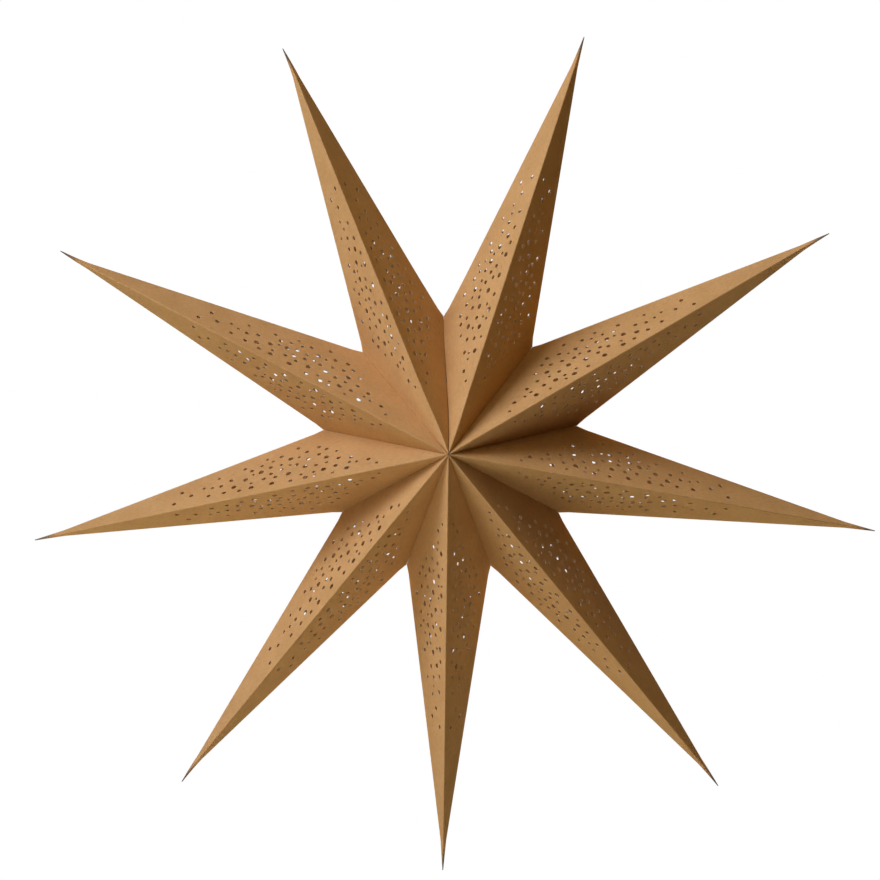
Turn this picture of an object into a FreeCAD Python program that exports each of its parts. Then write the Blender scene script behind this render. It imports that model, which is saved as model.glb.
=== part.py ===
# A hanging star shade with nine hollow rays, each folded from one sheet of card.
# The star's axis runs along Y, its front faces -Y, and +Z is up as it hangs.
# The origin is the centre of the star, in the middle plane where the side folds lie.
import FreeCAD, Part
import math
import os

# The whole star
RAY_COUNT = 9
TIP_RADIUS = 305.0
VALLEY_RADIUS = 89.3
HALF_DEPTH = 80.0

# The card and the flaps that glue each ray to the next one
CARD_THICKNESS = 0.35
FLAP_WIDTH = 10.0

# The end of a ray, where the four faces are pressed together into a solid nib.
# The straight folds would meet a little short of the blunt end.
FOLD_END_INSET = 9.5
NIB_LENGTH = 22.0
NIB_END_WIDTH = 0.7
NIB_END_DEPTH = 1.0

# Small hole at the centre, where the points of all the rays meet
CENTRE_HOLE_RADIUS = 0.8

# The seam at the top is closed with round hook and loop pads instead of glue
SEAM_GAP = 1.0
PAD_RADIUS = 4.0
PAD_PLACE = 0.6

# Directions in the middle plane, in degrees from +X towards +Z.
# The seam comes first and the rays follow it clockwise, as seen from the front.
SEAM_DIRECTION = 93.0

# How far each ray and valley hangs off its even place, because the star sags a little
RAY_LEANS = (-1.1, -3.6, -4.4, -4.8, -4.0, -1.6, 0.0, 0.7, -0.3)
VALLEY_LEANS = (0.0, -2.8, -4.3, -5.0, -4.6, -3.0, -1.0, 0.3, 0.3)

# How much farther than the tip radius each ray reaches, because it is folded by hand
RAY_REACHES = (-2.8, 0.5, 1.0, 3.0, -1.5, 2.0, -2.9, 2.2, -2.0)

# The large punched holes of one face: distance from the centre point along the ridge,
# distance from the ridge, and diameter. The four faces of a ray mirror each other.
PUNCHES = (
    (77.0, 9.5, 3.0),
    (95.0, 13.5, 3.2),
    (95.0, 27.5, 3.0),
    (108.0, 8.5, 2.8),
    (110.0, 21.5, 3.2),
    (122.0, 17.0, 3.2),
    (123.0, 34.5, 2.8),
    (144.0, 25.5, 3.0),
    (163.0, 14.5, 2.8),
)
PUNCH_SIDES = 8


def point(direction, radius, forward=0.0):
    """The point at a direction and radius about the star's axis, so far towards the front."""
    turn = math.radians(direction)
    return FreeCAD.Vector(radius * math.cos(turn), -forward, radius * math.sin(turn))


def ray_direction(index):
    """Direction of a ray, counted clockwise from the seam."""
    lean = RAY_LEANS[index % len(RAY_LEANS)]
    return SEAM_DIRECTION - (index + 0.5) * 360.0 / RAY_COUNT + lean


def valley_direction(index):
    """Direction of the valley before a ray. Valley 0 is the seam."""
    step = index % RAY_COUNT
    lean = VALLEY_LEANS[step % len(VALLEY_LEANS)]
    return SEAM_DIRECTION - step * 360.0 / RAY_COUNT + lean


def flat_face(corners):
    """A flat face with these corners."""
    return Part.Face(Part.makePolygon(list(corners) + [corners[0]]))


def closed_solid(outlines):
    """The solid that flat faces with these outlines close off."""
    solid = Part.makeSolid(Part.makeShell([flat_face(corners) for corners in outlines]))
    if solid.Volume < 0:
        solid.reverse()
    return solid


def card(corners, inner_point):
    """A sheet of card with these corners, as thick as the card on the side of the inner point."""
    normal = (corners[1] - corners[0]).cross(corners[2] - corners[0]).normalize()
    if normal.dot(inner_point - corners[0]) < 0:
        normal = normal * -1
    return flat_face(corners).extrude(normal * CARD_THICKNESS)


def flap_corners(direction, shift):
    """The bent glue flap of a valley: a band that follows the front and back valley folds."""
    slope = math.atan2(HALF_DEPTH, VALLEY_RADIUS)
    inner_radius = VALLEY_RADIUS - FLAP_WIDTH / math.sin(slope)
    inner_depth = HALF_DEPTH - FLAP_WIDTH / math.cos(slope)
    outline = (
        (0.0, HALF_DEPTH),
        (VALLEY_RADIUS, 0.0),
        (0.0, -HALF_DEPTH),
        (0.0, -inner_depth),
        (inner_radius, 0.0),
        (0.0, inner_depth),
    )
    return [point(direction, radius, forward) + shift for radius, forward in outline]


def seam_normal():
    """The direction across the seam, towards the ray that follows it clockwise."""
    return FreeCAD.Vector(0, 1, 0).cross(point(SEAM_DIRECTION, 1.0))


def punch(centre, normal, diameter):
    """A straight punch through the card, with its corners on the hole's circle."""
    side = normal.cross(FreeCAD.Vector(0, 0, 1)).normalize() * (diameter / 2)
    start = centre - normal * (2 * CARD_THICKNESS)
    corners = []
    for step in range(PUNCH_SIDES):
        turn = FreeCAD.Rotation(normal, step * 360.0 / PUNCH_SIDES)
        corners.append(start + turn.multVec(side))
    return flat_face(corners).extrude(normal * (4 * CARD_THICKNESS))


def face_punches(peak, notch, tip):
    """The punches of one face of a ray, set out from its ridge fold."""
    along = (tip - peak).normalize()
    normal = along.cross(notch - peak).normalize()
    across = normal.cross(along)
    return [punch(peak + along * run + across * offset, normal, diameter)
            for run, offset, diameter in PUNCHES]


def nib(direction, tip_radius, corners):
    """The solid end of a ray, from the ray's four folds to a blunt point."""
    outward = point(direction, 1.0)
    fold_end = outward * (tip_radius - FOLD_END_INSET)
    tip = outward * tip_radius
    start_reach = tip_radius - NIB_LENGTH
    start = []
    for corner in corners:
        reach = corner.dot(outward)
        share = (start_reach - reach) / (fold_end.Length - reach)
        start.append(corner + (fold_end - corner) * share)
    across = outward.cross(FreeCAD.Vector(0, 1, 0)) * (NIB_END_WIDTH / 2)
    depth = FreeCAD.Vector(0, -NIB_END_DEPTH / 2, 0)
    end = [tip + depth, tip + across, tip - depth, tip - across]
    rings = [Part.makePolygon(ring + [ring[0]]) for ring in (start, end)]
    return Part.makeLoft(rings, True, True)


def ray(index):
    """One ray: four faces and two bent glue flaps of a single folded sheet."""
    direction = ray_direction(index)
    front = point(0.0, 0.0, HALF_DEPTH)
    back = point(0.0, 0.0, -HALF_DEPTH)
    valleys = (valley_direction(index), valley_direction(index + 1))
    first, second = (point(valley, VALLEY_RADIUS) for valley in valleys)
    tip_radius = TIP_RADIUS + RAY_REACHES[index % len(RAY_REACHES)]
    fold_end = point(direction, tip_radius - FOLD_END_INSET)
    middle = point(direction, VALLEY_RADIUS)

    faces = [(peak, notch, fold_end) for peak in (front, back) for notch in (first, second)]
    body = closed_solid(faces + [(front, first, back), (front, second, back)])

    shifts = [FreeCAD.Vector(), FreeCAD.Vector()]
    if index == 0:
        shifts[0] = seam_normal() * (SEAM_GAP / 2)
    if index == RAY_COUNT - 1:
        shifts[1] = seam_normal() * (-SEAM_GAP / 2)
    sheets = [card(corners, middle) for corners in faces]
    sheets += [card(flap_corners(valley, shift), middle) for valley, shift in zip(valleys, shifts)]
    folded = sheets[0].multiFuse(sheets[1:]).common(body)
    folded = folded.fuse(nib(direction, tip_radius, (front, second, back, first)))

    cuts = [tool for corners in faces for tool in face_punches(*corners)]
    cuts.append(centre_hole())
    if index in (0, RAY_COUNT - 1):
        cuts.append(seam_slot())
    return folded.cut(cuts).removeSplitter()


def centre_hole():
    """The hole along the axis, through the front and the back point."""
    length = 2 * HALF_DEPTH + 2
    return Part.makeCylinder(CENTRE_HOLE_RADIUS, length, point(0, 0, length / 2), FreeCAD.Vector(0, 1, 0))


def seam_slot():
    """The open space between the two flaps at the seam."""
    length = 2 * HALF_DEPTH
    reach = VALLEY_RADIUS * 1.5
    slot = Part.makeBox(reach, length, SEAM_GAP, FreeCAD.Vector(0, -length / 2, -SEAM_GAP / 2))
    slot.rotate(FreeCAD.Vector(), FreeCAD.Vector(0, 1, 0), -SEAM_DIRECTION)
    return slot


def seam_pad(side, forward_side):
    """One half of a hook and loop pad, stuck to a seam flap half way across its width."""
    slope = math.atan2(HALF_DEPTH, VALLEY_RADIUS)
    radius = VALLEY_RADIUS * PAD_PLACE - FLAP_WIDTH / 2 * math.sin(slope)
    forward = HALF_DEPTH * (1 - PAD_PLACE) - FLAP_WIDTH / 2 * math.cos(slope)
    centre = point(SEAM_DIRECTION, radius, forward * forward_side)
    return Part.makeCylinder(PAD_RADIUS, SEAM_GAP / 2, centre, seam_normal() * side)


def main():
    """Build every piece and write each one to its own file."""
    nodes = {"ray_%d" % (index + 1): ray(index) for index in range(RAY_COUNT)}
    for place, forward_side in (("front", 1), ("back", -1)):
        nodes["seam_hook_pad_" + place] = seam_pad(-1, forward_side)
        nodes["seam_loop_pad_" + place] = seam_pad(1, forward_side)
    os.makedirs("parts", exist_ok=True)
    for name, shape in nodes.items():
        shape.exportStep("parts/%s.step" % name)
        print(name, "solids", len(shape.Solids), "valid", shape.isValid(),
              "volume %.0f" % shape.Volume)


main()
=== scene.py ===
import math
import random
from collections import namedtuple

import bmesh
import bpy
import numpy as np
from bpy.props import FloatProperty, FloatVectorProperty, IntProperty, PointerProperty
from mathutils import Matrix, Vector
from mathutils.geometry import delaunay_2d_cdt


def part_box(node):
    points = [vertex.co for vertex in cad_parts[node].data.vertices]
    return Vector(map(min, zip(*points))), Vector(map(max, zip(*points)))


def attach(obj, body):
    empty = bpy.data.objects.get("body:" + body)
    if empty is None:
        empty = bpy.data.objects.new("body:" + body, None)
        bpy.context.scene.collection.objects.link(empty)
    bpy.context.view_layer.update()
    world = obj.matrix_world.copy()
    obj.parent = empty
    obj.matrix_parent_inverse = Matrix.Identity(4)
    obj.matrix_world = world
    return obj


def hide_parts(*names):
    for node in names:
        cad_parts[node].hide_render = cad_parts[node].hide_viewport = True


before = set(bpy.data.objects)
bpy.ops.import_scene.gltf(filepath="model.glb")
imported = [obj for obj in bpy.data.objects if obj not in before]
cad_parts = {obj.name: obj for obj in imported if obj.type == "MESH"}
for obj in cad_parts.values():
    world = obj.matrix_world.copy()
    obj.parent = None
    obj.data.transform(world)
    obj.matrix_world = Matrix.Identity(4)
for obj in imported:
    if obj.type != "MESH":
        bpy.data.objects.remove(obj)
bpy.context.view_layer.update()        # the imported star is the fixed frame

bl_info = {
    "name": "Folded star shade",
    "version": (1, 0, 0),
    "blender": (4, 5, 0),
    "location": "3D View > Sidebar > Star",
    "description": "Folds and punches the nine card rays of a hanging star shade",
    "category": "Mesh",
}

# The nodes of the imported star
RAY_NODES = sorted(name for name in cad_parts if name.startswith("ray_"))
PAD_NODES = sorted(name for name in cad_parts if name.startswith("seam_"))
RAY_COUNT = len(RAY_NODES)

FRONT = 1
BACK = -1
SIDES = (FRONT, BACK)
VALLEYS = (0, 1)
SHEET_UV = "sheet"
# 1 along the folds, where the card is lightened: partly real rub of the card, partly a painted highlight
# along the ridges
FOLD_RUB_AND_HIGHLIGHT = "fold_rub_and_painted_highlight"
# Share along a ray's pressed end; its colour turns dark grey towards the blunt end
NIB_DARKENING = "nib_darkening"
INSIDE = "inside"

# The punched holes of one face, in millimetres: along the ridge from the centre point,
# and away from the ridge. The four faces of a ray mirror each other.
LARGE_PUNCHES = (
    (77.0, 9.5), (108.0, 8.5), (133.5, 9.5), (149.0, 9.5), (163.0, 14.5), (95.0, 13.5),
    (122.0, 17.0), (110.0, 21.5), (144.0, 25.5), (95.0, 27.5), (123.0, 34.5), (155.0, 20.5),
)
MEDIUM_PUNCHES = (
    (119.2, 8.0), (158.0, 8.8), (169.7, 9.9), (181.5, 9.9), (207.5, 8.4), (61.5, 14.7),
    (86.2, 15.1), (131.8, 16.4), (140.6, 16.8), (173.3, 18.9), (195.5, 14.7), (203.5, 20.6),
    (75.5, 21.5), (101.6, 20.4), (128.1, 23.6), (166.5, 23.1), (85.2, 23.6),
    (109.0, 29.9), (117.0, 25.7), (135.8, 21.0), (151.5, 29.4), (157.6, 33.6), (96.6, 38.3),
    (111.6, 39.5), (131.0, 40.0), (119.3, 46.7), (101.4, 33.2), (137.2, 28.8), (103.1, 42.7),
)
SMALL_PUNCHES = (
    (54.5, 8.4), (87.5, 7.4), (101.2, 8.4), (70.4, 14.7), (75.8, 15.8), (102.4, 13.0),
    (111.8, 13.0), (150.0, 14.7), (180.2, 18.9), (186.7, 20.4), (93.8, 21.0), (176.6, 28.4),
    (122.2, 26.9), (129.4, 29.4), (144.6, 33.2), (116.7, 34.7), (88.2, 33.0), (136.5, 35.8),
    (141.6, 40.0), (149.6, 24.5),
)
PUNCH_SIDES = 14

# The least card between a hole and a fold, and between two holes
PUNCH_MARGIN = 0.0035
PUNCH_WEB = 0.0006

# The seam: half of the gap where it is closed, how far to each side the card moves with it,
# how deep its front edge reaches, and its curve: the share of its run at which it crosses its
# straight line, and how steeply
CLOSED_HALF_GAP = 0.00006
SEAM_PULL = 0.020
SEAM_FRONT = 0.0035
SEAM_CROSSING = 0.3
SEAM_STEEPNESS = 2.6

# The soft lamps: degrees off the star's front axis, degrees anticlockwise from the right as the
# camera sees it, power in watts and colour
LAMPS = (
    ("upper_left_softbox", 62, 135, 83.0, (0.71, 0.73, 1.00)),
    ("lower_left_softbox", 62, 225, 36.5, (0.86, 0.90, 1.00)),
    ("front_softbox", 35, 135, 6.5, (1.00, 1.00, 1.00)),
    ("ceiling_softbox", 85, 90, 6.5, (1.00, 1.00, 0.80)),
    ("right_bounce", 85, 45, 9.0, (1.00, 0.68, 0.25)),
    ("back_right_softbox", 165, 0, 32.0, (1.00, 0.95, 0.85)),
    ("back_ceiling_softbox", 165, 90, 32.0, (1.00, 0.95, 0.85)),
    ("back_left_softbox", 165, 180, 34.0, (1.00, 0.95, 0.85)),
    ("back_floor_softbox", 165, 270, 12.0, (1.00, 0.95, 0.85)),
)

Plane = namedtuple("Plane", "origin along across outward")


class StarSizes(bpy.types.PropertyGroup):
    """Sizes of the star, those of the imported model. The fold end lies nearer the tip, as in the photo"""
    tip_radius: FloatProperty(
        name="Tip radius", description="From the star's axis to the blunt end of a ray",
        default=0.305, unit="LENGTH")
    valley_radius: FloatProperty(
        name="Valley radius", description="From the axis to the notch between two rays",
        default=0.0893, unit="LENGTH")
    half_depth: FloatProperty(
        name="Half depth", description="From the middle plane to the centre point in front",
        default=0.080, unit="LENGTH")
    fold_end_inset: FloatProperty(
        name="Fold end inset", description="How far short of the tip the straight folds would meet",
        default=0.0062, unit="LENGTH")
    nib_length: FloatProperty(
        name="Nib length", description="Length of the pressed solid end of a ray",
        default=0.022, unit="LENGTH")
    seam_direction: FloatProperty(
        name="Seam direction", description="Direction of the fastened seam in the middle plane",
        default=math.radians(93.0), subtype="ANGLE")
    ray_leans: FloatVectorProperty(
        name="Ray leans", description="How far each ray hangs off its even place", size=9,
        default=[math.radians(lean) for lean in (-1.1, -3.6, -4.4, -4.8, -4.0, -1.6, 0.0, 0.7, -0.3)],
        unit="ROTATION")
    ray_reaches: FloatVectorProperty(
        name="Ray reaches", description="How much farther than the tip radius each ray reaches", size=9,
        default=(-0.0028, 0.0005, 0.001, 0.003, -0.0015, 0.002, -0.0029, 0.0022, -0.002),
        precision=4, unit="LENGTH")
    valley_leans: FloatVectorProperty(
        name="Valley leans", description="How far each valley hangs off its even place", size=9,
        default=[math.radians(lean) for lean in (0.0, -2.8, -4.3, -5.0, -4.6, -3.0, -1.0, 0.3, 0.3)],
        unit="ROTATION")
    seam_gap: FloatProperty(
        name="Seam gap", description="Open space between the two flaps at the seam",
        default=0.001, unit="LENGTH")
    glue_gap: FloatProperty(
        name="Glue line", description="Thickness of the glue between two flaps",
        default=0.0001, unit="LENGTH")


class CardSizes(bpy.types.PropertyGroup):
    """Sizes of the folded card itself"""
    thickness: FloatProperty(
        name="Card thickness", description="Thickness of the card", default=0.00035, unit="LENGTH")
    flap_width: FloatProperty(
        name="Flap width", description="Width of the glue flaps", default=0.010, unit="LENGTH")
    ridge_round: FloatProperty(
        name="Ridge round", description="Width of the rounded strip on each side of a ridge fold",
        default=0.0007, unit="LENGTH")
    edge_round: FloatProperty(
        name="Side fold round", description="Width of the rounded strip on each side of a side fold",
        default=0.0005, unit="LENGTH")
    bulge: FloatProperty(
        name="Bulge", description="How far a face curves out of its flat plane", default=0.0006,
        unit="LENGTH")
    notch_web: FloatProperty(
        name="Notch web", description="How far the card bridges the notch between two rays",
        default=0.0010, unit="LENGTH")
    seam_drift: FloatProperty(
        name="Seam drift", description="How far the seam wanders off its straight line",
        default=0.0011, unit="LENGTH")
    seam_closed: FloatProperty(
        name="Seam closed", description="Share of the seam, from its notch, that is closed", default=0.18,
        min=0, max=1, subtype="FACTOR")
    seam_opens_over: FloatProperty(
        name="Seam opens over", description="Share of the seam over which it opens", default=0.18,
        min=0.01, max=1, subtype="FACTOR")
    seam_narrowed: FloatProperty(
        name="Seam narrowed", description="Share of the seam's gap that is closed at its front edge",
        default=0.65, min=0, max=1, subtype="FACTOR")
    nib_width: FloatProperty(
        name="Nib end width", description="Width of the blunt end of a ray", default=0.0006, unit="LENGTH")
    nib_depth: FloatProperty(
        name="Nib end depth", description="Depth of the blunt end of a ray", default=0.0010, unit="LENGTH")
    nib_bend: FloatProperty(
        name="Nib bend", description="Most that a nib is bent off its line", default=0.0012, unit="LENGTH")
    large_punch: FloatProperty(
        name="Large hole", description="Diameter of the large holes", default=0.0039, unit="LENGTH")
    medium_punch: FloatProperty(
        name="Medium hole", description="Diameter of the medium holes", default=0.0031, unit="LENGTH")
    small_punch: FloatProperty(
        name="Small hole", description="Diameter of the small holes", default=0.0024, unit="LENGTH")
    seed: IntProperty(
        name="Seed", description="Start of the random draws for bulges and bends", default=9)


class CardFinish(bpy.types.PropertyGroup):
    """Colours and finish of the card and of the seam pads"""
    light_colour: FloatVectorProperty(
        name="Light card", description="Paler tone of the brown card", size=3, subtype="COLOR",
        default=(0.83, 0.490, 0.175), min=0, max=1)
    dark_colour: FloatVectorProperty(
        name="Dark card", description="Darker tone of the brown card", size=3, subtype="COLOR",
        default=(0.77, 0.445, 0.155), min=0, max=1)
    # Pale fold colour: partly real rub of the card, partly a painted highlight along the ridges
    rub_and_highlight_colour: FloatVectorProperty(
        name="Rubbed and highlit fold", description="Colour of the card along its folds", size=3, subtype="COLOR",
        default=(0.78, 0.50, 0.215), min=0, max=1)
    # Dark grey that the pressed end turns to towards its blunt end
    nib_colour: FloatVectorProperty(
        name="Pressed nib", description="Colour of the pressed end of a ray", size=3, subtype="COLOR",
        default=(0.15, 0.13, 0.11), min=0, max=1)
    fleck_colour: FloatVectorProperty(
        name="Flecks", description="Colour of the dark flecks in the card", size=3, subtype="COLOR",
        default=(0.36, 0.19, 0.08), min=0, max=1)
    # Painted light: the inner side is painted paler than the card's own colour, to stand in for the light
    # inside the star
    inner_painted_light_colour: FloatVectorProperty(
        name="Inner side", description="Colour of the side of the card that lies inside the star", size=3,
        subtype="COLOR", default=(0.93, 0.77, 0.52), min=0, max=1)
    # The pale cut edge is partly the card's own cut fibres and partly painted light for hole edges lit from
    # inside
    cut_and_lit_edge_colour: FloatVectorProperty(
        name="Cut edge", description="Colour of the card where it is cut", size=3, subtype="COLOR",
        default=(0.90, 0.70, 0.46), min=0, max=1)
    # How strongly the folds are lightened, partly as real rub and partly as a painted highlight
    fold_rub_and_highlight: FloatProperty(
        name="Fold rub", description="How far the folds are rubbed pale", default=0.22, min=0, max=1,
        subtype="FACTOR")
    through_colour: FloatVectorProperty(
        name="Light through card", description="Tint of the light that comes through the card", size=3,
        subtype="COLOR", default=(0.96, 0.70, 0.36), min=0, max=1)
    through_share: FloatProperty(
        name="Light through share", description="Share of the light that goes through the card's outer side",
        default=0.23, min=0, max=1, subtype="FACTOR")
    inner_share: FloatProperty(
        name="Inner share", description="Share of the light that goes through the card's inner side",
        default=0.09, min=0, max=1, subtype="FACTOR")
    roughness: FloatProperty(
        name="Roughness", description="Roughness of the matt card", default=0.80, min=0, max=1,
        subtype="FACTOR")
    hook_colour: FloatVectorProperty(
        name="Hook pads", description="Colour of the hook pads of the seam", size=3, subtype="COLOR",
        default=(0.60, 0.56, 0.48), min=0, max=1)
    loop_colour: FloatVectorProperty(
        name="Loop pads", description="Colour of the loop pads of the seam", size=3, subtype="COLOR",
        default=(0.66, 0.62, 0.54), min=0, max=1)


class StudioSettings(bpy.types.PropertyGroup):
    """Camera, light and floor"""
    lamp_distance: FloatProperty(
        name="Lamp distance", description="From the star's centre to each lamp", default=3.0, unit="LENGTH")
    lamp_size: FloatProperty(
        name="Lamp size", description="Width and height of each lamp", default=1.6, unit="LENGTH")
    fill: FloatProperty(
        name="Fill", description="Strength of the even light from all round", default=0.01, min=0)
    fill_colour: FloatVectorProperty(
        name="Fill colour", description="Colour of the even light from all round", size=3, subtype="COLOR",
        default=(1.0, 0.98, 0.95), min=0, max=1)
    floor_drop: FloatProperty(
        name="Floor drop", description="From the star's centre down to the floor", default=0.65,
        unit="LENGTH")
    floor_radius: FloatProperty(
        name="Floor radius", description="Radius of the round floor", default=1.0, unit="LENGTH")
    floor_colour: FloatVectorProperty(
        name="Floor", description="Colour of the pale floor", size=3, subtype="COLOR",
        default=(0.86, 0.85, 0.74), min=0, max=1)
    camera_distance: FloatProperty(
        name="Camera distance", description="From the star's centre to the camera", default=3.6,
        unit="LENGTH")
    camera_rise: FloatProperty(
        name="Camera rise", description="Angle of the camera above the star", default=math.radians(4.77),
        subtype="ANGLE")
    camera_turn: FloatProperty(
        name="Camera turn", description="Angle of the camera to the right of the star",
        default=math.radians(0.93), subtype="ANGLE")
    half_frame: FloatProperty(
        name="Half frame", description="Half of the picture's width at the star", default=0.3108,
        unit="LENGTH")
    centre_right: FloatProperty(
        name="Centre to the right", description="Where the star's centre lies right of the picture's middle",
        default=0.0073, unit="LENGTH")
    centre_down: FloatProperty(
        name="Centre down", description="Where the star's centre lies below the picture's middle",
        default=0.0035, unit="LENGTH")


def point(direction, radius, forward=0.0):
    """The place at a direction and radius about the star's axis, so far towards the front."""
    return Vector((radius * math.cos(direction), -forward, radius * math.sin(direction)))


def ray_direction(sizes, index):
    """Direction of a ray, counted clockwise from the seam."""
    return sizes.seam_direction - (index + 0.5) * math.tau / RAY_COUNT + sizes.ray_leans[index]


def valley_direction(sizes, index):
    """Direction of the valley before a ray. Valley 0 is the seam."""
    step = index % RAY_COUNT
    return sizes.seam_direction - step * math.tau / RAY_COUNT + sizes.valley_leans[step]


def crossing(start, along, other_start, other_along):
    """Where two lines of a flat face cross."""
    bottom = along.x * other_along.y - along.y * other_along.x
    offset = other_start - start
    return start + along * ((offset.x * other_along.y - offset.y * other_along.x) / bottom)


def face_plane(origin, along_end, third, inside):
    """The plane of a face, with its ridge as the first direction and its outside known."""
    along = (along_end - origin).normalized()
    across = third - origin
    across = (across - along * across.dot(along)).normalized()
    outward = along.cross(across)
    if outward.dot(inside - origin) > 0:
        outward.negate()
    return Plane(origin, along, across, outward)


class Sheet:
    """One folded sheet as a skin of triangles. Each point knows the planes that it lies in."""

    def __init__(self):
        self.points = []
        self.planes = []
        self.rub_and_highlight = []
        self.named = {}
        self.triangles = []

    def add(self, place, plane, name=None, rub_and_highlight=0.0):
        """A new point, or the point of that name, which then lies in this plane too."""
        if name is not None and name in self.named:
            number = self.named[name]
            self.planes[number].add(plane)
            return number
        number = len(self.points)
        self.points.append(place)
        self.planes.append({plane})
        self.rub_and_highlight.append(rub_and_highlight)
        if name is not None:
            self.named[name] = number
        return number

    def triangle(self, corners, plane, outward):
        """A triangle that faces outwards."""
        a, b, c = (self.points[corner] for corner in corners)
        if (b - a).cross(c - a).dot(outward) < 0:
            corners = (corners[0], corners[2], corners[1])
        self.triangles.append((*corners, plane))


class Ray:
    """The folds, planes and corners of one ray."""

    # Steps along each fold, and how far a rounded fold sinks, as a share of its strip's width
    ridge_steps = 36
    edge_steps = 26
    valley_steps = 14
    ridge_relief = 0.55
    edge_relief = 0.20

    # The ridge at the centre point: the width of its strip, how soon it widens, and where it starts
    start_round = 0.00045
    round_grows_over = 0.012
    least_start = 0.00075
    start_clearance = 0.0005

    # The pressed end: its steps, how fast it narrows, and the pale rub and painted highlight of its folds,
    # which fades out
    nib_steps = 8
    nib_taper = 1.05
    nib_rub_and_highlight = 0.3

    def __init__(self, sizes, card, index):
        self.sizes = sizes
        self.card = card
        self.index = index
        self.direction = ray_direction(sizes, index)
        self.outward = point(self.direction, 1.0)
        self.inside = point(self.direction, sizes.valley_radius)
        self.peaks = {side: point(0.0, 0.0, side * sizes.half_depth) for side in SIDES}
        self.tip_radius = sizes.tip_radius + sizes.ray_reaches[index]
        self.fold_end = point(self.direction, self.tip_radius - sizes.fold_end_inset)
        self.valleys = [valley_direction(sizes, index + valley) for valley in VALLEYS]
        self.notches = [point(valley, sizes.valley_radius) for valley in self.valleys]
        self.gaps = [sizes.glue_gap / 2] * 2
        if index == 0:
            self.gaps[0] = sizes.seam_gap / 2
        if index == RAY_COUNT - 1:
            self.gaps[1] = sizes.seam_gap / 2
        self.planes = self.make_planes()
        self.ridge_start = self.find_ridge_start()
        self.random = random.Random(card.seed * 100 + index)

    def make_planes(self):
        """The planes of the four faces and of the two flaps."""
        planes = {}
        for side in SIDES:
            for valley in VALLEYS:
                planes[side, valley] = face_plane(
                    self.peaks[side], self.fold_end, self.notches[valley], self.inside)
        forward = Vector((0.0, -1.0, 0.0))
        for valley in VALLEYS:
            along = point(self.valleys[valley], 1.0)
            outward = along.cross(forward)
            if outward.dot(self.inside) > 0:
                outward.negate()
            planes["flap", valley] = Plane(outward * -self.gaps[valley], along, forward, outward)
        return planes

    def valley_slope(self, side, valley):
        """How a face's valley line runs: the shares of the first and the second direction."""
        plane = self.planes[side, valley]
        outward = self.planes["flap", valley].outward
        return -plane.along.dot(outward), plane.across.dot(outward)

    def find_ridge_start(self):
        """How far from the centre point the ridge starts, so that both seam flaps clear it."""
        starts = [self.gaps[valley] / self.valley_slope(FRONT, valley)[0] for valley in VALLEYS]
        return max(self.least_start, max(starts) + self.start_clearance)

    def ridge_round_at(self, run):
        """Width of the rounded strip beside the ridge, which narrows towards the centre point."""
        share = min(1.0, run / self.round_grows_over)
        return self.start_round + (self.card.ridge_round - self.start_round) * share


def solid_place(plane, flat, height=0.0):
    """The place of a flat point of a face, so high above the face."""
    return plane.origin + plane.along * flat.x + plane.across * flat.y + plane.outward * height


def flat_place(plane, place):
    """A place of a face in the face's own two directions."""
    offset = place - plane.origin
    return Vector((offset.dot(plane.along), offset.dot(plane.across)))


def bulge_height(flat, corners, bulge, wave):
    """How high a face curves above its plane at a flat point. It is nothing at the folds."""
    peak, notch, tip = corners
    whole = (notch - peak).cross(tip - peak)
    at_tip = (notch - peak).cross(flat - peak) / whole
    at_notch = (flat - peak).cross(tip - peak) / whole
    at_peak = 1.0 - at_tip - at_notch
    hill = 27.0 * at_tip * at_notch * at_peak    # 1 in the middle of the face
    return hill * (bulge + wave * math.sin(math.tau * (at_tip - at_notch)))


def punches(card):
    """The middle and the radius of every hole of a face."""
    sets = (
        (LARGE_PUNCHES, card.large_punch),
        (MEDIUM_PUNCHES, card.medium_punch),
        (SMALL_PUNCHES, card.small_punch),
    )
    return [(Vector((run, offset)) / 1000.0, diameter / 2)
            for places, diameter in sets for run, offset in places]


def distance_to_line(flat, start, end):
    """How far a flat point lies from the line through two others."""
    along = (end - start).normalized()
    return abs(along.cross(flat - start))


def free_punches(card, borders):
    """The holes of a face that keep a margin from its folds and from each other."""
    kept = []
    for middle, radius in punches(card):
        clear = all(distance_to_line(middle, *border) > radius + PUNCH_MARGIN for border in borders)
        apart = all((middle - other).length > radius + other_radius + PUNCH_WEB
                    for other, other_radius in kept)
        if clear and apart:
            kept.append((middle, radius))
    return kept


def grid_points(corners, borders, holes, spacing=0.009, clearance=0.003):
    """Evenly spread points of a face, clear of its borders and its holes."""
    peak, notch, tip = corners
    found = []
    row_height = spacing * math.sqrt(3) / 2
    for row in range(1, int(notch.y / row_height) + 1):
        for step in range(int(tip.x / spacing) + 1):
            flat = Vector(((step + 0.5 * (row % 2)) * spacing, row * row_height))
            under_valley = (notch - peak).cross(flat - peak) < 0
            under_edge = (tip - notch).cross(flat - notch) < 0
            if not (under_valley and under_edge):
                continue
            if any(distance_to_line(flat, *border) < clearance for border in borders):
                continue
            if any((flat - middle).length < radius + clearance for middle, radius in holes):
                continue
            found.append(flat)
    return found


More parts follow.
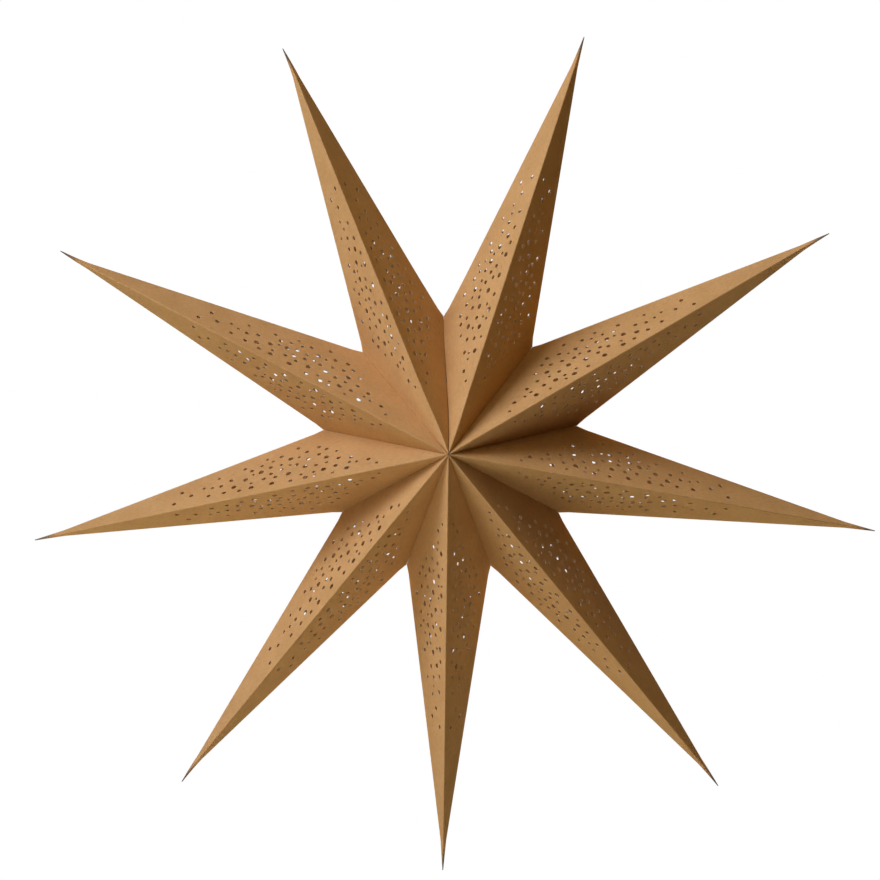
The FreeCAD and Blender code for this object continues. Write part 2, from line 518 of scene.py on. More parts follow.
def add_face(sheet, ray, side, valley):
    """One punched face of a ray, from its ridge to its side fold. Returns its shoulder points."""
    plane = ray.planes[side, valley]
    key = (side, valley)
    card = ray.card
    gap = ray.gaps[valley]
    run_share, across_share = ray.valley_slope(side, valley)

    # The straight lines of the face, in its own two directions
    valley_start = Vector((gap / run_share, 0.0))
    valley_along = Vector((across_share, run_share)).normalized()
    notch = flat_place(plane, ray.notches[valley])
    tip = flat_place(plane, ray.fold_end)
    edge_along = (tip - notch).normalized()
    edge_inward = Vector((edge_along.y, -edge_along.x))
    corner = crossing(valley_start, valley_along, notch, edge_along)
    shoulder_reach = ray.tip_radius - ray.sizes.nib_length
    ridge_shoulder = Vector((shoulder_reach / plane.along.dot(ray.outward), 0.0))
    notch_reach = ray.notches[valley].dot(ray.outward)
    share = (shoulder_reach - notch_reach) / (ray.fold_end.length - notch_reach)
    edge_shoulder = notch + (tip - notch) * share
    shoulder_along = (edge_shoulder - ridge_shoulder).normalized()
    edge_row = notch + edge_inward * card.edge_round
    edge_row_start = crossing(valley_start, valley_along, edge_row, edge_along)
    edge_row_end = crossing(ridge_shoulder, shoulder_along, edge_row, edge_along)
    ridge_row = Vector((0.0, card.ridge_round))
    ridge_row_end = crossing(ridge_shoulder, shoulder_along, ridge_row, Vector((1.0, 0.0)))
    row_start = Vector(((across_share * ray.start_round + gap) / run_share, ray.start_round))

    # Inward directions of the rounded folds
    ridge_inward = -(ray.planes[side, 0].outward + ray.planes[side, 1].outward).normalized()
    fold_inward = -(ray.planes[FRONT, valley].outward + ray.planes[BACK, valley].outward).normalized()

    flats = []
    numbers = []

    def put(flat, name=None, rub_and_highlight=0.0, shift=None, height=0.0):
        place = solid_place(plane, flat, height)
        if shift is not None:
            place = place + shift
        flats.append(flat)
        numbers.append(sheet.add(place, key, name, rub_and_highlight))
        return len(flats) - 1

    ridge = []
    for step in range(ray.ridge_steps + 1):
        run = ray.ridge_start + (ridge_shoulder.x - ray.ridge_start) * step / ray.ridge_steps
        shift = ridge_inward * (ray.ridge_relief * ray.ridge_round_at(run))
        ridge.append(put(Vector((run, 0.0)), ("ridge", side, step), 1.0, shift))
    edge = []
    for step in range(ray.edge_steps + 1):
        flat = corner + (edge_shoulder - corner) * (step / ray.edge_steps)
        shift = fold_inward * (ray.edge_relief * card.edge_round)
        if step == 0:
            shift = ray.planes["flap", valley].along * card.notch_web
        edge.append(put(flat, ("edge", valley, step), 1.0, shift))
    fold = []
    for step in range(ray.valley_steps + 1):
        flat = row_start + (edge_row_start - row_start) * (step / ray.valley_steps)
        fold.append(put(flat, ("valley", side, valley, step)))

    ridge_strip = [fold[0]]
    for step in range(1, ray.ridge_steps):
        run = flats[ridge[step]].x
        ridge_strip.append(put(Vector((run, ray.ridge_round_at(run)))))
    ridge_strip.append(put(ridge_row_end, ("ridge row", side, valley)))
    edge_strip = [fold[-1]]
    for step in range(1, ray.edge_steps):
        edge_strip.append(put(flats[edge[step]] + edge_inward * card.edge_round))
    edge_strip.append(put(edge_row_end, ("edge row", side, valley)))

    loop = ridge + [ridge_strip[-1], edge_strip[-1]] + edge[::-1] + fold[::-1]
    lines = [(a, b) for a, b in zip(loop, loop[1:] + loop[:1])]
    lines += list(zip(ridge_strip, ridge_strip[1:])) + list(zip(edge_strip, edge_strip[1:]))

    corners = (Vector((0.0, 0.0)), corner, tip)
    borders = ((corners[0], corner), (corner, tip), (corners[0], tip))
    bulge = ray.random.uniform(-1.0, 1.0) * card.bulge
    wave = ray.random.uniform(-0.6, 0.6) * card.bulge
    holes = free_punches(card, borders)
    for middle, radius in holes:
        rim = []
        for step in range(PUNCH_SIDES):
            turn = math.tau * step / PUNCH_SIDES
            flat = middle + Vector((math.cos(turn), math.sin(turn))) * radius
            rim.append(put(flat, height=bulge_height(flat, corners, bulge, wave)))
        lines += list(zip(rim, rim[1:] + rim[:1]))
    for flat in grid_points(corners, borders, holes):
        put(flat, height=bulge_height(flat, corners, bulge, wave))

    in_millimetres = [flat * 1000.0 for flat in flats]
    placed, _, cells, sources, _, _ = delaunay_2d_cdt(in_millimetres, lines, [], 1, 1e-5)
    if len(placed) != len(flats):
        raise RuntimeError("two points of face %s of ray %d fell together" % (key, ray.index + 1))
    # The triangles, without those in the holes
    for cell in cells:
        own = [sources[number][0] for number in cell]
        middle = sum((flats[number] for number in own), Vector((0.0, 0.0))) / 3
        if any((middle - hole).length < 0.95 * radius for hole, radius in holes):
            continue
        sheet.triangle(tuple(numbers[number] for number in own), key, plane.outward)
    return [numbers[place] for place in (ridge[-1], ridge_strip[-1], edge_strip[-1], edge[-1])]


def add_flap(sheet, ray, valley):
    """The bent glue flap of a valley, a band behind the front and back valley folds."""
    plane = ray.planes["flap", valley]
    key = ("flap", valley)
    sizes = ray.sizes
    slope = math.atan2(sizes.half_depth, sizes.valley_radius)
    inner_radius = sizes.valley_radius - ray.card.flap_width / math.sin(slope)
    inner_depth = sizes.half_depth - ray.card.flap_width / math.cos(slope)
    start_radius = 0.0013
    corner = sheet.add(solid_place(plane, Vector((inner_radius, 0.0))), key)
    for side in SIDES:
        start = Vector((start_radius, side * inner_depth * (1 - start_radius / inner_radius)))
        end = Vector((inner_radius, 0.0))
        outer = [sheet.named["valley", side, valley, step] for step in range(ray.valley_steps + 1)]
        outer.append(sheet.named["edge", valley, 0])
        inner = []
        for step, number in enumerate(outer[:-1]):
            sheet.planes[number].add(key)
            reach = (sheet.points[number] - ray.peaks[side]).length
            share = reach / (ray.notches[valley] - ray.peaks[side]).length if step else 0.0
            inner.append(sheet.add(solid_place(plane, start.lerp(end, share)), key))
        sheet.planes[outer[-1]].add(key)
        inner.append(corner)
        for step in range(len(outer) - 1):
            a, b = outer[step], outer[step + 1]
            c, d = inner[step + 1], inner[step]
            sheet.triangle((a, b, c), key, plane.outward)
            sheet.triangle((a, c, d), key, plane.outward)


def inner_shift(ray, planes, thickness):
    """From a point of the outer skin to the inner one, so that each wall keeps its thickness."""
    normals = np.array([ray.planes[key].outward[:] for key in planes])
    return Vector(np.linalg.lstsq(normals, np.full(len(normals), -thickness), rcond=None)[0])


class Shell:
    """The finished points of a ray with their fold rub and painted highlight marks, and its polygons with
    their planes.
    """

    def __init__(self):
        self.points = []
        self.rub_and_highlight = []
        self.nib = []
        self.inside = []
        self.polygons = []
        self.cut = []
        self.planes = []

    def add(self, place, rub_and_highlight=0.0, nib=0.0, inside=0.0):
        self.points.append(place)
        self.rub_and_highlight.append(rub_and_highlight)
        self.nib.append(nib)
        self.inside.append(inside)
        return len(self.points) - 1

    def polygon(self, corners, plane, cut=False):
        self.polygons.append(tuple(corners))
        self.planes.append(plane)
        self.cut.append(cut)


def thicken(sheet, ray, shoulder):
    """The sheet as a closed shell, open only at the shoulder where the nib goes on."""
    shell = Shell()
    for place, rub_and_highlight in zip(sheet.points, sheet.rub_and_highlight):
        shell.add(place, rub_and_highlight)
    count = len(sheet.points)
    for place, planes in zip(sheet.points, sheet.planes):
        shell.add(place + inner_shift(ray, planes, ray.card.thickness), inside=1.0)
    owners = {}
    for a, b, c, plane in sheet.triangles:
        shell.polygon((a, b, c), plane)
        shell.polygon((a + count, c + count, b + count), plane)
        for edge in ((a, b), (b, c), (c, a)):
            owners[edge] = plane
    for (a, b), plane in owners.items():
        on_shoulder = a in shoulder and b in shoulder
        if (b, a) not in owners and not on_shoulder:
            shell.polygon((b, a, a + count, b + count), plane, cut=True)
    return shell, count


def add_nib(shell, ray, ring, keys, inner_offset):
    """The pressed end of a ray, drawn out from the shoulder ring to a blunt point."""
    card = ray.card
    tip = ray.outward * ray.tip_radius
    start = ray.outward * (ray.tip_radius - ray.sizes.nib_length)
    across = ray.outward.cross(Vector((0.0, 1.0, 0.0)))
    bend = across * ray.random.uniform(-1.0, 1.0) + Vector((0.0, ray.random.uniform(-0.5, 0.5), 0.0))
    offsets = [shell.points[number] - start for number in ring]
    offsets = [offset - ray.outward * offset.dot(ray.outward) for offset in offsets]
    widest = max(abs(offset.dot(across)) for offset in offsets)
    deepest = max(abs(offset.y) for offset in offsets)
    last = list(ring)
    for step in range(1, ray.nib_steps + 1):
        share = step / ray.nib_steps
        pinch = (1.0 - share) ** ray.nib_taper
        middle = start.lerp(tip, share) + bend * (card.nib_bend * share * share)
        current = []
        for offset in offsets:
            side = offset.dot(across) * (pinch + (1 - pinch) * card.nib_width / 2 / widest)
            deep = offset.y * (pinch + (1 - pinch) * card.nib_depth / 2 / deepest)
            place = middle + across * side + Vector((0.0, deep, 0.0))
            current.append(shell.add(place, ray.nib_rub_and_highlight * (1 - share), share))
        for place in range(len(ring)):
            following = (place + 1) % len(ring)
            corners = (last[place], last[following], current[following], current[place])
            shell.polygon(corners, keys[place])
        last = current
    shell.polygon(last, keys[0], cut=True)
    shell.polygon([number + inner_offset for number in reversed(ring)], keys[0])


def smooth_step(value):
    """From 0 to 1 with soft ends."""
    value = min(1.0, max(0.0, value))
    return value * value * (3 - 2 * value)


def drift(place, ray):
    """Moves a place near the seam, which wanders and narrows in front and closes at the notch."""
    sizes = ray.sizes
    card = ray.card
    seam = point(sizes.seam_direction, 1.0)
    clockwise = Vector((0.0, 1.0, 0.0)).cross(seam)
    radius = place.dot(seam)
    away = place.dot(clockwise)
    if radius <= 0.0 or ray.index not in (0, RAY_COUNT - 1):
        return place
    near = 1.0 - smooth_step(abs(away) / SEAM_PULL)
    run = 1.0 - radius / sizes.valley_radius
    closed = 1.0 - smooth_step((run - card.seam_closed) / card.seam_opens_over)
    wander = 0.0
    if run > 0.0 and place.y < 0.0:
        below = sizes.half_depth * run + place.y
        shallow = 1.0 - smooth_step(below / SEAM_FRONT)
        closed = max(closed, card.seam_narrowed * shallow)
        curve = SEAM_STEEPNESS * math.sin(math.pi * run) * (run - SEAM_CROSSING)
        wander = card.seam_drift * curve * shallow
    move = wander - math.copysign(sizes.seam_gap / 2 - CLOSED_HALF_GAP, away) * closed
    return place + clockwise * (move * near)


def shell_mesh(shell, ray, name):
    """A mesh of a ray's shell, with its sheet directions, fold rub and painted highlight marks and sharp
    folds.
    """
    places = [drift(place, ray) for place in shell.points]
    mesh = bpy.data.meshes.new(name)
    mesh.from_pydata([place[:] for place in places], [], shell.polygons)
    for attribute, values in ((FOLD_RUB_AND_HIGHLIGHT, shell.rub_and_highlight), (NIB_DARKENING, shell.nib), (INSIDE, shell.inside)):
        layer = mesh.attributes.new(attribute, "FLOAT", "POINT")
        layer.data.foreach_set("value", np.array(values, np.float32))
    uv = mesh.uv_layers.new(name=SHEET_UV)
    keys = list(ray.planes)
    for polygon, plane_key, cut in zip(mesh.polygons, shell.planes, shell.cut):
        plane = ray.planes[plane_key]
        # Each face has its own place on the sheet, so that no two show the same fibres
        away = Vector((ray.index * 3.0 + keys.index(plane_key) * 0.5, ray.index * 0.7))
        polygon.material_index = int(cut)
        polygon.use_smooth = True
        for corner in polygon.loop_indices:
            place = places[mesh.loops[corner].vertex_index]
            uv.data[corner].uv = flat_place(plane, place) + away
    sharpen(mesh)
    return mesh


def sharpen(mesh):
    """Marks the sharp folds and cut edges. The rounded ridge of a fold and a hole's wall stay smooth."""
    flat_limit = math.radians(12)
    wall_limit = math.radians(40)
    body = bmesh.new()
    body.from_mesh(mesh)
    rub_and_highlight = body.verts.layers.float.get(FOLD_RUB_AND_HIGHLIGHT)
    for edge in body.edges:
        if len(edge.link_faces) != 2:
            edge.smooth = False
            continue
        walls = all(face.material_index == 1 for face in edge.link_faces)
        crest = all(vertex[rub_and_highlight] > 0.99 for vertex in edge.verts)
        limit = wall_limit if walls else flat_limit
        edge.smooth = crest or edge.calc_face_angle(0.0) < limit
    body.to_mesh(mesh)
    body.free()


def check_against_frame(piece, node):
    """Stops if a piece doesn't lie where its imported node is."""
    limit = 0.002
    low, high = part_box(node)
    places = [vertex.co for vertex in piece.data.vertices]
    for axis in range(3):
        lowest = min(place[axis] for place in places)
        highest = max(place[axis] for place in places)
        if abs(lowest - low[axis]) > limit or abs(highest - high[axis]) > limit:
            raise RuntimeError("%s lies off its node %s" % (piece.name, node))


def make_ray(sizes, card, index):
    """The finished mesh of one ray."""
    ray = Ray(sizes, card, index)
    sheet = Sheet()
    shoulders = {}
    for side in SIDES:
        for valley in VALLEYS:
            shoulders[side, valley] = add_face(sheet, ray, side, valley)
    for valley in VALLEYS:
        add_flap(sheet, ray, valley)
    ring = []
    keys = []
    for key, backwards in (((FRONT, 0), False), ((BACK, 0), True), ((BACK, 1), False), ((FRONT, 1), True)):
        row = shoulders[key][::-1] if backwards else shoulders[key]
        ring += row[:-1]
        keys += [key] * (len(row) - 1)
    shell, inner_offset = thicken(sheet, ray, set(ring))

    # The ring has to turn one way about the ray, so that the nib's polygons face outwards
    turn = sum((shell.points[p].cross(shell.points[q]) for p, q in zip(ring, ring[1:] + ring[:1])),
               Vector()).dot(ray.outward)
    if turn < 0:
        ring = [ring[0]] + ring[:0:-1]
        keys = keys[::-1]
    add_nib(shell, ray, ring, keys, inner_offset)
    return shell_mesh(shell, ray, RAY_NODES[index] + "_card")


def socket(group, name, kind, direction, default=None):
    """Gives a shader group a named input or output."""
    made = group.interface.new_socket(name=name, in_out=direction, socket_type="NodeSocket" + kind)
    if default is not None:
        made.default_value = default


def link(tree, source, output, target, entry):
    """Joins two nodes of a tree."""
    tree.links.new(source.outputs[output], target.inputs[entry])


def math_node(tree, operation, *values):
    """A math node. A value that is a pair of node and output is linked, and a number is set."""
    node = tree.nodes.new("ShaderNodeMath")
    node.operation = operation
    for place, value in enumerate(values):
        if isinstance(value, tuple):
            link(tree, value[0], value[1], node, place)
        else:
            node.inputs[place].default_value = value
    return node


def noise_node(tree, vector, scale, detail=3.0, roughness=0.6):
    """A noise texture on a vector."""
    node = tree.nodes.new("ShaderNodeTexNoise")
    node.inputs["Scale"].default_value = scale
    node.inputs["Detail"].default_value = detail
    node.inputs["Roughness"].default_value = roughness
    link(tree, vector[0], vector[1], node, "Vector")
    return node


def range_node(tree, source, low, high, to_low=0.0, to_high=1.0):
    """Maps a value from one range to another."""
    node = tree.nodes.new("ShaderNodeMapRange")
    node.interpolation_type = "SMOOTHSTEP"
    for entry, value in (("From Min", low), ("From Max", high), ("To Min", to_low), ("To Max", to_high)):
        node.inputs[entry].default_value = value
    link(tree, source[0], source[1], node, "Value")
    return node


def colour_mix(tree, factor, first, second, blend="MIX"):
    """A mix of two colours. Each of the three is a linked pair or a plain value."""
    node = tree.nodes.new("ShaderNodeMix")
    node.data_type = "RGBA"
    node.blend_type = blend
    entries = {"Factor_Float": factor, "A_Color": first, "B_Color": second}
    for identifier, value in entries.items():
        entry = next(item for item in node.inputs if item.identifier == identifier)
        if isinstance(value, tuple) and isinstance(value[0], bpy.types.Node):
            tree.links.new(value[0].outputs[value[1]], entry)
        elif identifier == "Factor_Float":
            entry.default_value = value
        else:
            entry.default_value = (*value, 1.0)
    return node


def mix_result(node):
    """The colour output of a mix node, as a pair to link."""
    place = next(number for number, item in enumerate(node.outputs) if item.identifier == "Result_Color")
    return node, place


def fibre_group():
    """Shader group: the fibres, clouds and flecks of brown card."""
    group = bpy.data.node_groups.new("card_fibres", "ShaderNodeTree")
    socket(group, "Place", "Vector", "INPUT")
    socket(group, "Fibre scale", "Float", "INPUT", 900.0)
    socket(group, "Cloud", "Float", "OUTPUT")
    socket(group, "Fibre", "Float", "OUTPUT")
    socket(group, "Fleck", "Float", "OUTPUT")
    socket(group, "Height", "Float", "OUTPUT")
    start = group.nodes.new("NodeGroupInput")
    end = group.nodes.new("NodeGroupOutput")
    clouds = noise_node(group, (start, "Place"), 42.0, 4.0, 0.55)
    stretch = group.nodes.new("ShaderNodeMapping")
    stretch.inputs["Scale"].default_value = (0.35, 1.0, 1.0)
    stretch.inputs["Rotation"].default_value = (0.0, 0.0, 0.45)
    link(group, start, "Place", stretch, "Vector")
    fibres = noise_node(group, (stretch, "Vector"), 900.0, 3.0, 0.65)
    link(group, start, "Fibre scale", fibres, "Scale")
    flecks = noise_node(group, (stretch, "Vector"), 620.0, 1.0, 0.4)
    fleck_mask = range_node(group, (flecks, "Fac"), 0.66, 0.74)
    link(group, clouds, "Fac", end, "Cloud")
    link(group, fibres, "Fac", end, "Fibre")
    link(group, fleck_mask, "Result", end, "Fleck")
    height = math_node(group, "MULTIPLY_ADD", (clouds, "Fac"), 0.4, (fibres, "Fac"))
    link(group, height, 0, end, "Height")
    return group


def rub_and_highlight_group():
    """Shader group: how far a fold is rubbed pale and painted with a highlight, uneven along its length."""
    group = bpy.data.node_groups.new("fold_rub_and_highlight", "ShaderNodeTree")
    socket(group, "Place", "Vector", "INPUT")
    socket(group, "Fold", "Float", "INPUT", 0.0)
    socket(group, "Amount", "Float", "INPUT", 0.7)
    socket(group, "Mask", "Float", "OUTPUT")
    start = group.nodes.new("NodeGroupInput")
    end = group.nodes.new("NodeGroupOutput")
    patches = noise_node(group, (start, "Place"), 140.0, 3.0, 0.6)
    uneven = range_node(group, (patches, "Fac"), 0.35, 0.65, 0.35, 1.0)
    rubbed_and_highlighted = math_node(group, "MULTIPLY", (start, "Fold"), (uneven, "Result"))
    scaled = math_node(group, "MULTIPLY", (rubbed_and_highlighted, 0), (start, "Amount"))
    link(group, scaled, 0, end, "Mask")
    return group


def new_material(name):
    """An empty node material and its output."""
    material = bpy.data.materials.new(name)
    material.use_nodes = True
    tree = material.node_tree
    tree.nodes.clear()
    return material, tree, tree.nodes.new("ShaderNodeOutputMaterial")


def sheet_place(tree):
    """The place on the flat sheet, in metres."""
    node = tree.nodes.new("ShaderNodeUVMap")
    node.uv_map = SHEET_UV
    return node, "UV"


def use_group(tree, group, place):
    """A shader group in a material, at a place on the sheet."""
    node = tree.nodes.new("ShaderNodeGroup")
    node.node_tree = group
    link(tree, place[0], place[1], node, "Place")
    return node


def attribute_value(tree, name):
    """A value that is stored on the mesh."""
    node = tree.nodes.new("ShaderNodeAttribute")
    node.attribute_name = name
    return node, "Fac"


def matt_shader(tree, colour, specular, height, bump_strength, bump_distance, sunk=False):
    """A shader of a mixed colour with a bump. Its roughness is still to be set."""
    bump = tree.nodes.new("ShaderNodeBump")
    bump.invert = sunk
    bump.inputs["Strength"].default_value = bump_strength
    bump.inputs["Distance"].default_value = bump_distance
    link(tree, *height, bump, "Height")
    shader = tree.nodes.new("ShaderNodeBsdfPrincipled")
    shader.inputs["Specular IOR Level"].default_value = specular
    link(tree, *mix_result(colour), shader, "Base Color")
    link(tree, bump, "Normal", shader, "Normal")
    return shader


def card_material(finish, fibres, rub_and_highlight):
    """Matt brown card that lets some warm light through. Its inner side is painted pale, a painted light
    that stands in for the light inside the star.
    """
    material, tree, output = new_material("brown_card")
    place = sheet_place(tree)
    grain = use_group(tree, fibres, place)
    lightening = use_group(tree, rub_and_highlight, place)
    fold = attribute_value(tree, FOLD_RUB_AND_HIGHLIGHT)
    link(tree, fold[0], fold[1], lightening, "Fold")
    lightening.inputs["Amount"].default_value = finish.fold_rub_and_highlight
    cloud = range_node(tree, (grain, "Cloud"), 0.36, 0.64)
    base = colour_mix(tree, (cloud, "Result"), finish.dark_colour[:], finish.light_colour[:])
    streak = range_node(tree, (grain, "Fibre"), 0.30, 0.70, 0.90, 1.08)
    streaked = colour_mix(tree, 1.0, mix_result(base), (streak, "Result"), "MULTIPLY")
    fleck_share = math_node(tree, "MULTIPLY", (grain, "Fleck"), 0.35)
    flecked = colour_mix(tree, (fleck_share, 0), mix_result(streaked), finish.fleck_colour[:])
    # Lightens the folds: partly real rub, partly a painted highlight along the ridges
    rubbed_and_highlighted = colour_mix(tree, (lightening, "Mask"), mix_result(flecked), finish.rub_and_highlight_colour[:])
    # Darker grey towards the blunt end of each ray
    nib = attribute_value(tree, NIB_DARKENING)
    nib_share = range_node(tree, nib, 0.15, 0.85, 0.0, 0.9)
    outer = colour_mix(tree, (nib_share, "Result"), mix_result(rubbed_and_highlighted), finish.nib_colour[:])
    inside = attribute_value(tree, INSIDE)
    # Painted light: the inner skin is painted paler, so that the inside seen through the holes looks lit
    coloured = colour_mix(tree, inside, mix_result(outer), finish.inner_painted_light_colour[:])

    shader = matt_shader(tree, coloured, 0.02, (grain, "Height"), 0.25, 0.00012)
    rough = range_node(tree, (grain, "Fibre"), 0.3, 0.7, finish.roughness - 0.06, finish.roughness + 0.08)
    link(tree, rough, "Result", shader, "Roughness")
    through = tree.nodes.new("ShaderNodeBsdfTranslucent")
    through.inputs["Color"].default_value = (*finish.through_colour, 1.0)
    both = tree.nodes.new("ShaderNodeMixShader")
    share = range_node(tree, inside, 0.0, 1.0, finish.through_share, finish.inner_share)
    link(tree, share, "Result", both, "Fac")
    tree.links.new(shader.outputs["BSDF"], both.inputs[1])
    tree.links.new(through.outputs["BSDF"], both.inputs[2])
    tree.links.new(both.outputs["Shader"], output.inputs["Surface"])
    return material


def cut_edge_material(finish, fibres):
    """The paler cut edge of the card, in the holes and along the flaps: partly the card's own pale cut
    fibres, partly painted light for edges lit from inside the star.
    """
    material, tree, output = new_material("card_cut_edge")
    grain = use_group(tree, fibres, sheet_place(tree))
    grain.inputs["Fibre scale"].default_value = 2600.0
    streak = range_node(tree, (grain, "Fibre"), 0.30, 0.70, 0.82, 1.10)
    # Partly the card's own cut colour, partly painted light on the lit hole edges
    coloured = colour_mix(tree, 1.0, finish.cut_and_lit_edge_colour[:], (streak, "Result"), "MULTIPLY")
    shader = matt_shader(tree, coloured, 0.15, (grain, "Height"), 0.5, 0.00006)
    shader.inputs["Roughness"].default_value = 0.95
    link(tree, shader, "BSDF", output, "Surface")
    return material


def pad_material(name, colour, pile_scale, pile_depth):
    """Short woven pile of a hook or a loop pad."""
    material, tree, output = new_material(name)
    coordinates = tree.nodes.new("ShaderNodeTexCoord")
    pile = tree.nodes.new("ShaderNodeTexVoronoi")
    pile.inputs["Scale"].default_value = pile_scale
    link(tree, coordinates, "Object", pile, "Vector")
    shade = range_node(tree, (pile, "Distance"), 0.0, 0.6, 1.1, 0.7)
    coloured = colour_mix(tree, 1.0, colour, (shade, "Result"), "MULTIPLY")
    shader = matt_shader(tree, coloured, 0.5, (pile, "Distance"), 0.8, pile_depth, sunk=True)
    shader.inputs["Roughness"].default_value = 0.9
    shader.inputs["Sheen Weight"].default_value = 0.3
    link(tree, shader, "BSDF", output, "Surface")
    return material


class STAR_OT_rays(bpy.types.Operator):
    """Fold, punch and finish the nine card rays"""
    bl_idname = "star.rays"
    bl_label = "Fold the rays"

    def execute(self, context):
        scene = context.scene
        fibres = fibre_group()
        card_face = card_material(scene.star_finish, fibres, rub_and_highlight_group())
        cut_edge = cut_edge_material(scene.star_finish, fibres)
        for index, node in enumerate(RAY_NODES):
            mesh = make_ray(scene.star_sizes, scene.star_card, index)
            mesh.materials.append(card_face)
            mesh.materials.append(cut_edge)
            piece = bpy.data.objects.new(mesh.name, mesh)
            scene.collection.objects.link(piece)
            check_against_frame(piece, node)
            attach(piece, "root")
            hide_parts(node)
        return {"FINISHED"}


class STAR_OT_pads(bpy.types.Operator):
    """Give the hook and loop pads of the seam their woven pile"""
    bl_idname = "star.pads"
    bl_label = "Finish the seam pads"

    def execute(self, context):
        finish = context.scene.star_finish
        hook = pad_material("hook_pile", finish.hook_colour[:], 3200.0, 0.0002)
        loop = pad_material("loop_pile", finish.loop_colour[:], 2100.0, 0.0003)
        for node in PAD_NODES:
            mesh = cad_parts[node].data
            mesh.materials.clear()
            mesh.materials.append(hook if "hook" in node else loop)
        return {"FINISHED"}


def aim(thing, target):
    """Turns a camera or a lamp to look at a place."""
    thing.rotation_euler = (target - thing.location).to_track_quat("-Z", "Y").to_euler()


def lamp_direction(tilt, turn):
    """Direction of a lamp, tilted away from the star's front axis and turned from the right."""
    tilt = math.radians(tilt)
    turn = math.radians(turn)
    return Vector((math.sin(tilt) * math.cos(turn), -math.cos(tilt), math.sin(tilt) * math.sin(turn)))


def add_lamp(scene, name, place, size, power, colour):
    """A square soft lamp that looks at the star."""
    light = bpy.data.lights.new(name, "AREA")
    light.shape = "SQUARE"
    light.size = size
    light.energy = power
    light.color = colour
    lamp = bpy.data.objects.new(name, light)
    lamp.location = place
    scene.collection.objects.link(lamp)
    aim(lamp, Vector())


def add_camera(scene, studio):
    """The camera in front of the star, a little above and to the right."""
    direction = Vector((
        math.sin(studio.camera_turn) * math.cos(studio.camera_rise),
        -math.cos(studio.camera_turn) * math.cos(studio.camera_rise),
        math.sin(studio.camera_rise),
    ))
    camera = bpy.data.objects.new("camera", bpy.data.cameras.new("camera"))
    camera.location = direction * studio.camera_distance
    right = direction.cross(Vector((0.0, 0.0, 1.0))).normalized() * -1
    up = direction.cross(right)
    up = up if up.z > 0 else -up
    aim(camera, up * studio.centre_down - right * studio.centre_right)
    camera.data.sensor_width = 36.0
    camera.data.lens = camera.data.sensor_width / 2 * studio.camera_distance / studio.half_frame
    camera.data.clip_start = 0.05
    scene.collection.objects.link(camera)
    scene.camera = camera


def straight_view(tree):
    """1 where a surface is seen straight, in a reflection or through glass. Scattered light gets 0."""
    path = tree.nodes.new("ShaderNodeLightPath")
    seen = math_node(tree, "MAXIMUM", (path, "Is Camera Ray"), (path, "Is Glossy Ray"))
    seen = math_node(tree, "MAXIMUM", (seen, 0), (path, "Is Transmission Ray"))
    clear = math_node(tree, "SUBTRACT", 1.0, (path, "Is Diffuse Ray"))
    return math_node(tree, "MULTIPLY", (seen, 0), (clear, 0))


def studio_world(scene, colour, strength):
    """A white backdrop to look at, and an even fill of light from all round."""
    world = bpy.data.worlds.new("studio")
    world.use_nodes = True
    tree = world.node_tree
    tree.nodes.clear()
    seen = straight_view(tree)
    fill = tree.nodes.new("ShaderNodeBackground")
    fill.inputs["Color"].default_value = (*colour, 1.0)
    fill.inputs["Strength"].default_value = strength
    white = tree.nodes.new("ShaderNodeBackground")
    white.inputs["Color"].default_value = (1.0, 1.0, 1.0, 1.0)
    white.inputs["Strength"].default_value = 1.0
    both = tree.nodes.new("ShaderNodeMixShader")
    link(tree, seen, 0, both, "Fac")
    tree.links.new(fill.outputs["Background"], both.inputs[1])
    tree.links.new(white.outputs["Background"], both.inputs[2])
    output = tree.nodes.new("ShaderNodeOutputWorld")
    link(tree, both, "Shader", output, "Surface")
    scene.world = world


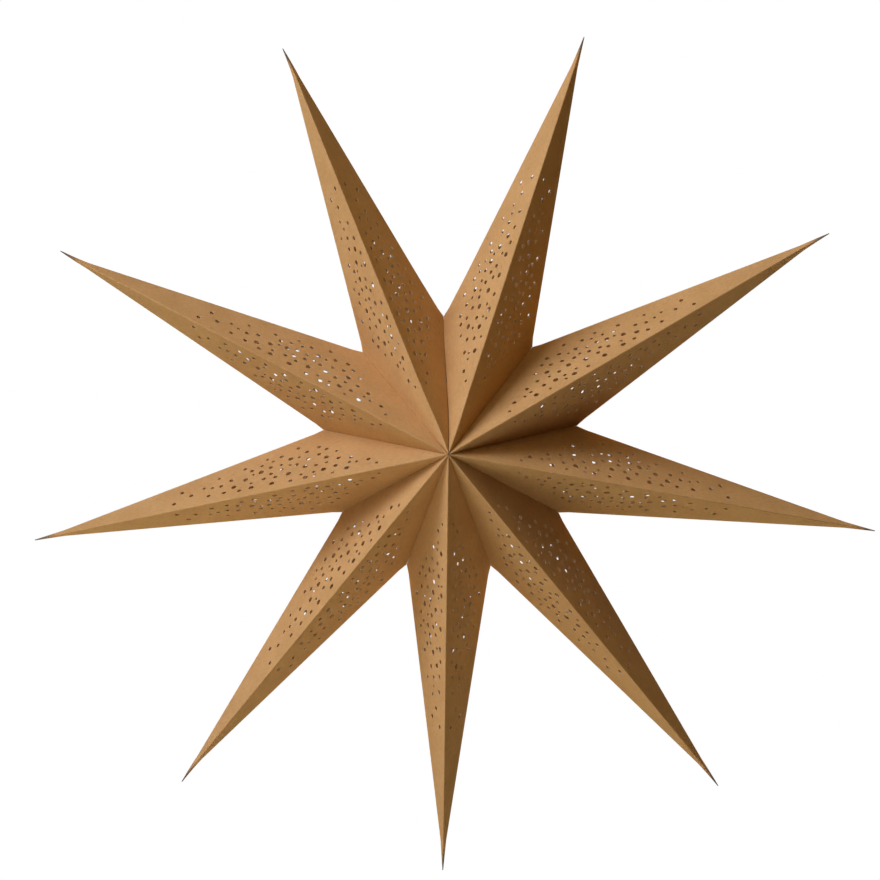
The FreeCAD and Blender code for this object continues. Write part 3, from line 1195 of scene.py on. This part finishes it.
def add_floor(scene, studio):
    """A pale round floor below the star, which fades into the white backdrop."""
    body = bmesh.new()
    bmesh.ops.create_circle(body, cap_ends=True, segments=96, radius=studio.floor_radius)
    mesh = bpy.data.meshes.new("studio_floor")
    body.to_mesh(mesh)
    body.free()
    floor = bpy.data.objects.new("studio_floor", mesh)
    floor.location = (0.0, 0.0, -studio.floor_drop)
    scene.collection.objects.link(floor)
    material, tree, output = new_material("pale_floor")
    place = tree.nodes.new("ShaderNodeNewGeometry")
    flat = tree.nodes.new("ShaderNodeVectorMath")
    flat.operation = "MULTIPLY"
    flat.inputs[1].default_value = (1.0, 1.0, 0.0)
    link(tree, place, "Position", flat, 0)
    reach = tree.nodes.new("ShaderNodeVectorMath")
    reach.operation = "LENGTH"
    link(tree, flat, "Vector", reach, 0)
    fade = range_node(tree, (reach, "Value"), 0.35, 0.95)
    seen = straight_view(tree)
    white_share = math_node(tree, "MULTIPLY", (fade, "Result"), (seen, 0))
    paper = tree.nodes.new("ShaderNodeBsdfDiffuse")
    paper.inputs["Color"].default_value = (*studio.floor_colour, 1.0)
    white = tree.nodes.new("ShaderNodeEmission")
    white.inputs["Color"].default_value = (1.0, 1.0, 1.0, 1.0)
    both = tree.nodes.new("ShaderNodeMixShader")
    link(tree, white_share, 0, both, "Fac")
    tree.links.new(paper.outputs["BSDF"], both.inputs[1])
    tree.links.new(white.outputs["Emission"], both.inputs[2])
    link(tree, both, "Shader", output, "Surface")
    mesh.materials.append(material)


class STAR_OT_stage(bpy.types.Operator):
    """Set the camera, the soft studio light and the pale floor"""
    bl_idname = "star.stage"
    bl_label = "Set the stage"

    def execute(self, context):
        scene = context.scene
        scene.view_settings.view_transform = "Standard"
        studio = scene.star_studio
        add_camera(scene, studio)
        studio_world(scene, studio.fill_colour[:], studio.fill)
        for name, tilt, turn, power, colour in LAMPS:
            place = lamp_direction(tilt, turn) * studio.lamp_distance
            add_lamp(scene, name, place, studio.lamp_size, power, colour)
        add_floor(scene, studio)
        return {"FINISHED"}


class STAR_PT_panel(bpy.types.Panel):
    """Lists the steps that make the star"""
    bl_idname = "STAR_PT_panel"
    bl_label = "Folded star shade"
    bl_space_type = "VIEW_3D"
    bl_region_type = "UI"
    bl_category = "Star"

    def draw(self, context):
        for operator in OPERATORS:
            self.layout.operator(operator.bl_idname)
        for name in GROUPS:
            settings = getattr(context.scene, name)
            box = self.layout.box()
            for key in settings.bl_rna.properties.keys():
                if key not in ("rna_type", "name"):
                    box.prop(settings, key)


GROUPS = {
    "star_sizes": StarSizes,
    "star_card": CardSizes,
    "star_finish": CardFinish,
    "star_studio": StudioSettings,
}
OPERATORS = (STAR_OT_stage, STAR_OT_rays, STAR_OT_pads)


def register():
    """Adds the settings, the operators and the panel."""
    for name, group in GROUPS.items():
        bpy.utils.register_class(group)
        setattr(bpy.types.Scene, name, PointerProperty(type=group))
    for operator in OPERATORS:
        bpy.utils.register_class(operator)
    bpy.utils.register_class(STAR_PT_panel)


def unregister():
    """Takes the panel, the operators and the settings away."""
    bpy.utils.unregister_class(STAR_PT_panel)
    for operator in reversed(OPERATORS):
        bpy.utils.unregister_class(operator)
    for name, group in GROUPS.items():
        delattr(bpy.types.Scene, name)
        bpy.utils.unregister_class(group)


def main():
    """Makes the stage, the rays and the pads in order."""
    register()
    bpy.ops.star.stage()
    bpy.ops.star.rays()
    bpy.ops.star.pads()


if __name__ == "__main__":
    main()
